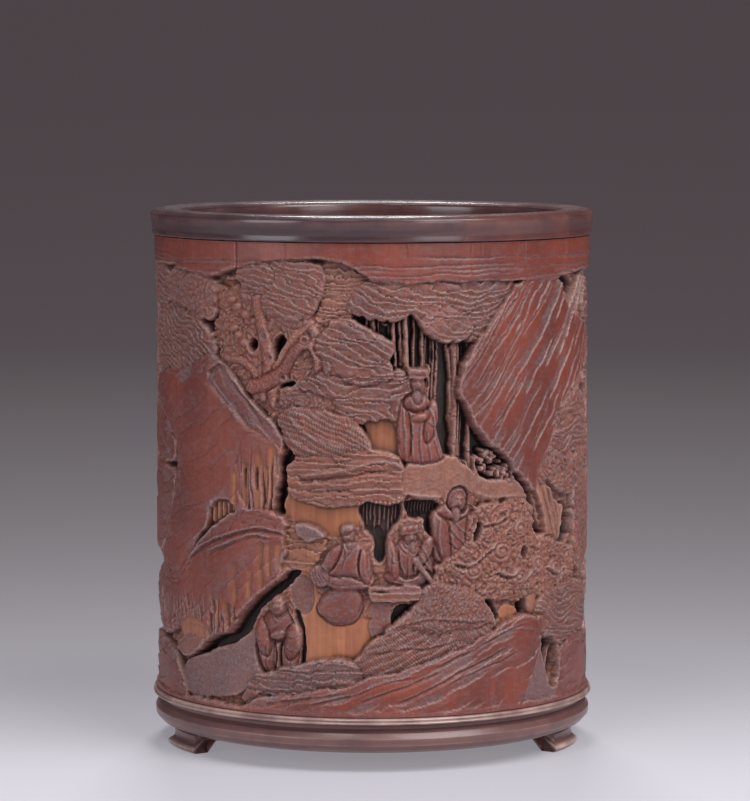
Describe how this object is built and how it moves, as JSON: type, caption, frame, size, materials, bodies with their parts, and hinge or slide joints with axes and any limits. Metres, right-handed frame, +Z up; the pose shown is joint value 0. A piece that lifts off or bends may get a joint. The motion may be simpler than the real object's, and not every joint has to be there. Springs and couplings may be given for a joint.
{
  "type": "carved bamboo brush pot",
  "caption": "Cylindrical desk pot for writing brushes: a bamboo tube carved in relief with scholars among rocks and pines, a domed hardwood rim and a moulded base on low feet.",
  "frame": {"origin": "on the surface the pot stands on, under its axis", "axes": "+Z up along the pot's axis, -Y towards the side with the table and the bamboo grove, +X to that viewer's right"},
  "size_m": [0.1428, 0.1428, 0.1716],
  "materials": {
    "carved_bamboo": "aged red-brown bamboo, polished skin on the high faces and dry orange-tan wood in the cuts",
    "rim_hardwood": "dark purple-brown hardwood, hand-polished and glossy",
    "base_hardwood": "dark purple-brown hardwood, waxed, worn lighter along the bead",
    "panel_wood": "plain brown board, matt"
  },
  "bodies": {
    "root": {"bamboo_wall": "carved_bamboo", "rim_front_left": "rim_hardwood", "rim_front_right": "rim_hardwood", "rim_back_right": "rim_hardwood", "rim_back_left": "rim_hardwood", "base_front_left": "base_hardwood", "base_front_right": "base_hardwood", "base_back_right": "base_hardwood", "base_back_left": "base_hardwood", "floor_panel": "panel_wood", "foot_left": "base_hardwood", "foot_right": "base_hardwood", "foot_back": "base_hardwood"}
  },
  "joints": []
}
